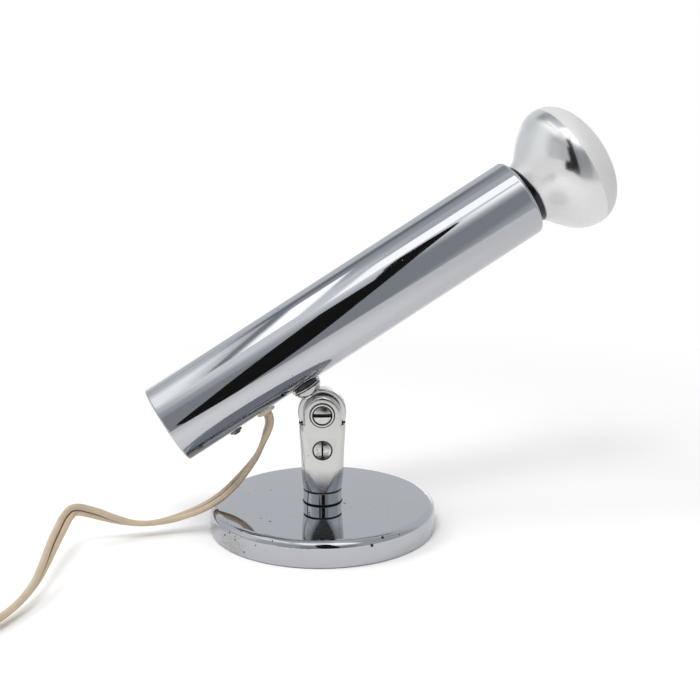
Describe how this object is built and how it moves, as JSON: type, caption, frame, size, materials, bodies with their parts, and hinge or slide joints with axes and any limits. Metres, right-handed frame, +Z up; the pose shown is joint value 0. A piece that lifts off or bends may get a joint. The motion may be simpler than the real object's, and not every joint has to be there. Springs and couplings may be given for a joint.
{
  "type": "desk spotlight lamp",
  "caption": "Chrome tube spotlight with a reflector bulb, push switch and cord, tilting on a knuckle swivel over a weighted round base.",
  "frame": {"origin": "centre of the base's underside, on the table", "axes": "+Z up; +X towards the bulb end, in the knuckle's tilting plane; the knuckle's pivot lies along Y, screw heads towards -Y"},
  "size_m": [0.378, 0.2074, 0.1956],
  "materials": {
    "chrome": "mirror chrome plate on steel",
    "cast_iron": "rough cast",
    "felt": "felt",
    "plated_steel": "zinc plated",
    "chrome_casting": "satin-bright chrome plate on a casting",
    "screw_steel": "nickel plated",
    "fibre": "vulcanised fibre",
    "black_oxide_steel": "black oxide",
    "black_plastic": "moulded",
    "cream_plastic": "moulded",
    "cord_pvc": "soft vinyl",
    "wire_pvc": "soft vinyl",
    "brass": "plain",
    "phenolic": "moulded phenolic",
    "bulb_glass": "silvered behind, frosted in front",
    "aluminium_shell": "rolled",
    "black_glass": "black glass",
    "solder": "solder",
    "clear_glass": "clear",
    "tungsten": "wound wire"
  },
  "bodies": {
    "base": {"base_cover": "chrome", "base_weight": "cast_iron", "base_felt": "felt", "base_washer": "plated_steel", "base_nut": "plated_steel", "swivel_stem": "plated_steel", "collar_ring": "chrome"},
    "yoke": {"yoke_front_half": "chrome_casting", "yoke_back_half": "chrome_casting", "pivot_screw": "screw_steel", "clamp_screw": "screw_steel", "pivot_cup_ring": "chrome", "knuckle_nuts": "plated_steel", "friction_washers": "fibre", "spring_washer": "plated_steel", "cord": "cord_pvc", "cord_coil": "cord_pvc", "cord_tail": "cord_pvc", "plug_body": "cream_plastic", "plug_blades": "brass"},
    "head": {"swivel_eye": "chrome_casting", "tooth_washer": "black_oxide_steel", "disc_washer": "plated_steel", "saddle_washer": "black_plastic", "lamp_tube": "chrome", "back_cap": "chrome", "stud_washer": "plated_steel", "stud_nut": "plated_steel", "socket_bracket": "plated_steel", "cord_bushing": "cream_plastic", "inner_cord": "cord_pvc", "switch_body": "black_plastic", "switch_ring": "chrome", "switch_spring": "plated_steel", "socket_nipple": "brass", "nipple_nuts": "brass", "socket_body": "phenolic", "socket_shell": "brass", "socket_contact": "brass", "terminal_screws": "brass", "lead_wires": "wire_pvc", "bulb_glass": "bulb_glass", "bulb_shell": "aluminium_shell", "bulb_insulator": "black_glass", "bulb_contact": "solder", "bulb_stem": "clear_glass", "bulb_filament": "tungsten"},
    "button": {"switch_button": "black_plastic"}
  },
  "joints": [
    {"name": "base_swivel", "type": "hinge", "parent": "base", "child": "yoke", "pos_m": [0, 0, 0.0187], "axis": [0, 0, 1], "continuous": true},
    {"name": "head_tilt", "type": "hinge", "parent": "yoke", "child": "head", "pos_m": [0, 0, 0.0563], "axis": [0, -1, 0], "range_deg": [-50, 20], "deforming": ["cord"]},
    {"name": "switch_press", "type": "slide", "parent": "head", "child": "button", "axis": [-0.5195, 0, 0.8545], "range_m": [0, 0.001], "stiffness_N_per_m": 1200, "springref_m": -0.0008, "deforming": ["switch_spring"]}
  ]
}
